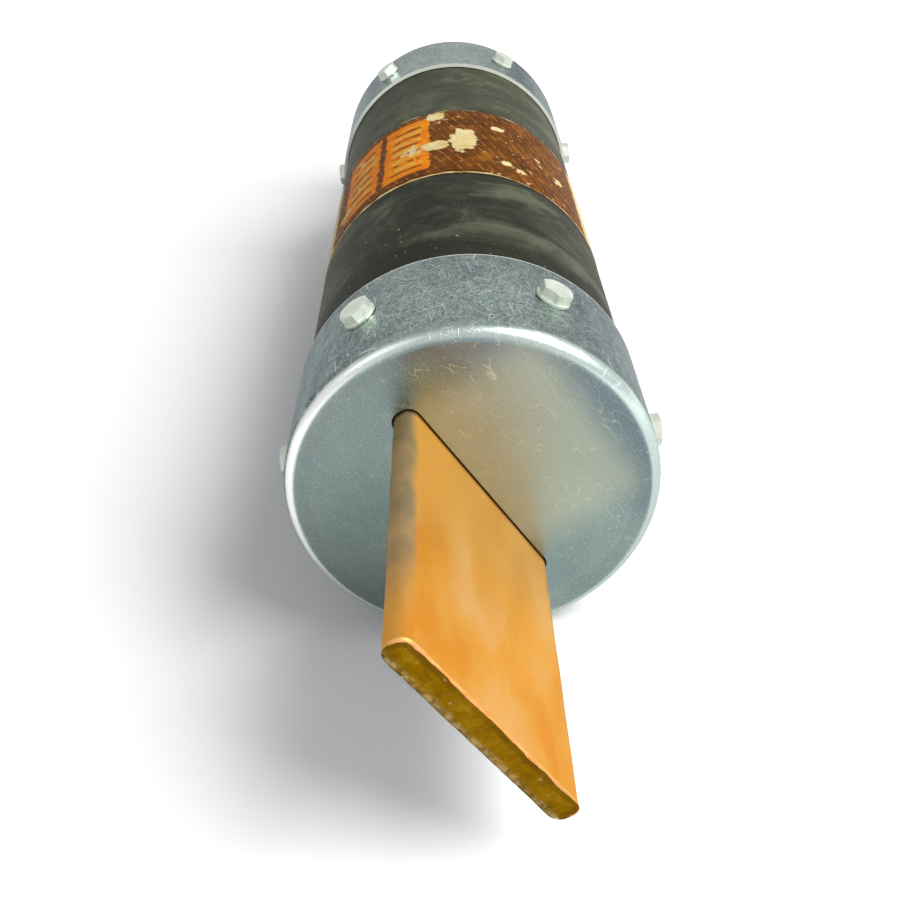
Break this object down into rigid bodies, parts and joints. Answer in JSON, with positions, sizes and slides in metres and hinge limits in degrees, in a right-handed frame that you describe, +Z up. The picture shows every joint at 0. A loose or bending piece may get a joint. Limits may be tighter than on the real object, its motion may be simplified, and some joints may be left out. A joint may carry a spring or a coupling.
{
  "type": "cartridge fuse",
  "caption": "Cartridge fuse with a dark insulating tube, slotted aluminium end caps held by hex screws, and a flat copper knife blade at each end.",
  "frame": {"origin": "middle of the body, on its axis", "axes": "+X along the fuse's axis towards the end nearest the camera in the picture, +Z up as the fuse lies"},
  "size_m": [0.3524, 0.085, 0.0794],
  "materials": {
    "tube": "satin laminated fibre, scuffed",
    "label": "worn printed paper band",
    "cap": "drawn and brushed, finely pitted",
    "fibre": "vulcanised fibre",
    "screw": "zinc plated",
    "blade": "bare copper, lightly oxidised",
    "disc": "turned",
    "link": "silver plated strip",
    "bead": "dull tin alloy",
    "sand": "packed quartz sand"
  },
  "bodies": {
    "root": {"body_tube": "tube", "label_wrap": "label", "near_end_cap": "cap", "far_end_cap": "cap", "near_end_gasket": "fibre", "far_end_gasket": "fibre", "near_cap_screws": "screw", "far_cap_screws": "screw", "near_blade": "blade", "far_blade": "blade", "near_terminal_disc": "disc", "far_terminal_disc": "disc", "near_fill_plug": "disc", "far_fill_plug": "disc", "link_separator": "fibre", "fuse_link_1": "link", "fuse_link_2": "link", "fuse_link_3": "link", "fuse_link_4": "link", "fuse_link_5": "link", "fuse_link_6": "link", "overload_beads": "bead", "near_sand_fill": "sand", "far_sand_fill": "sand"}
  },
  "joints": []
}
